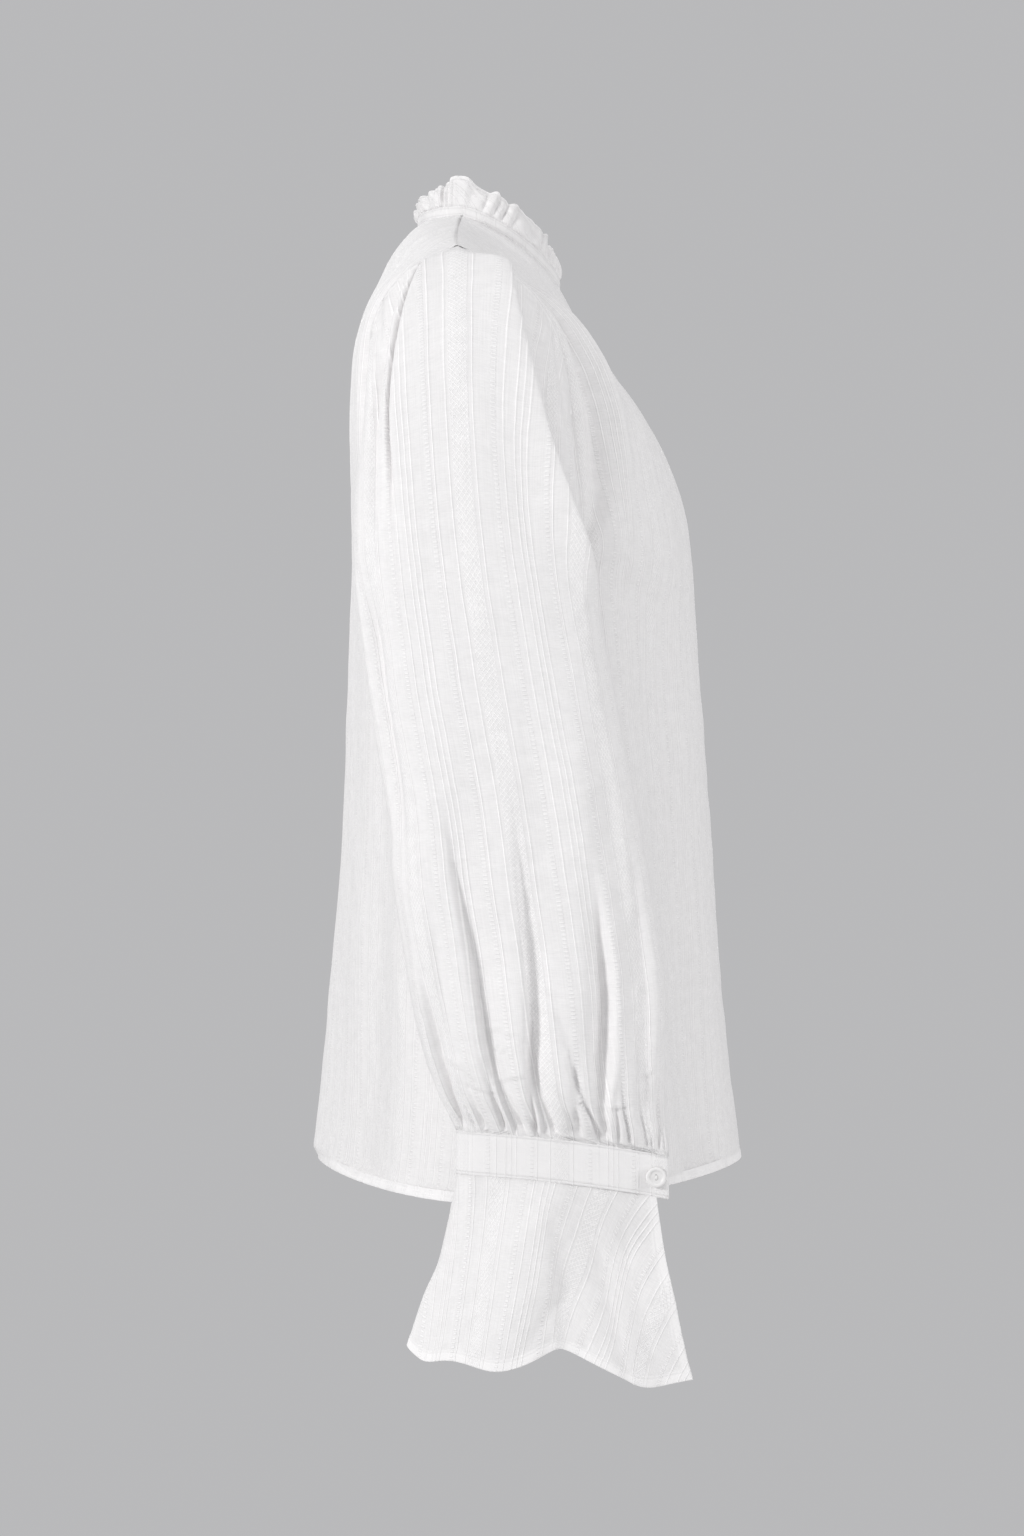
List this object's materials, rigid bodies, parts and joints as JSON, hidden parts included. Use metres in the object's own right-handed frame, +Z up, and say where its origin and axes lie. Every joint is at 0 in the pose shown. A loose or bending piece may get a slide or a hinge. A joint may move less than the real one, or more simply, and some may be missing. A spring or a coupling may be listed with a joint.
{
  "type": "long-sleeved jacquard shirt with a ruffle collar and flounced cuffs",
  "caption": "White striped jacquard shirt, worn form without a wearer: gathered sleeves, buttoned cuffs with a deep flounce, and a small standing ruffle at the neck.",
  "frame": {"origin": "the centre of the neck at the height of the two shoulder-neck points, where the shirt hangs on its wearer", "axes": "+X to the wearer's left, -Y to the front, +Z up towards the neck"},
  "size_m": [0.6502, 0.297, 0.7728],
  "materials": {
    "cloth": "white cotton shirting with a fine raised jacquard stripe, matt with a slight gleam on the floats",
    "neck_and_cuff_cloth": "the same cloth, two layers with interlining, so whiter and smoother",
    "button": "white pearly plastic, glossy"
  },
  "bodies": {
    "root": {"front": "cloth", "back": "cloth", "neckband": "neck_and_cuff_cloth", "collar_ruffle": "neck_and_cuff_cloth", "sleeve_left": "cloth", "sleeve_right": "cloth", "cuff_left": "neck_and_cuff_cloth", "cuff_right": "neck_and_cuff_cloth", "cuff_flounce_left": "cloth", "cuff_flounce_right": "cloth", "cuff_button_left": "button", "cuff_button_right": "button"}
  },
  "joints": []
}
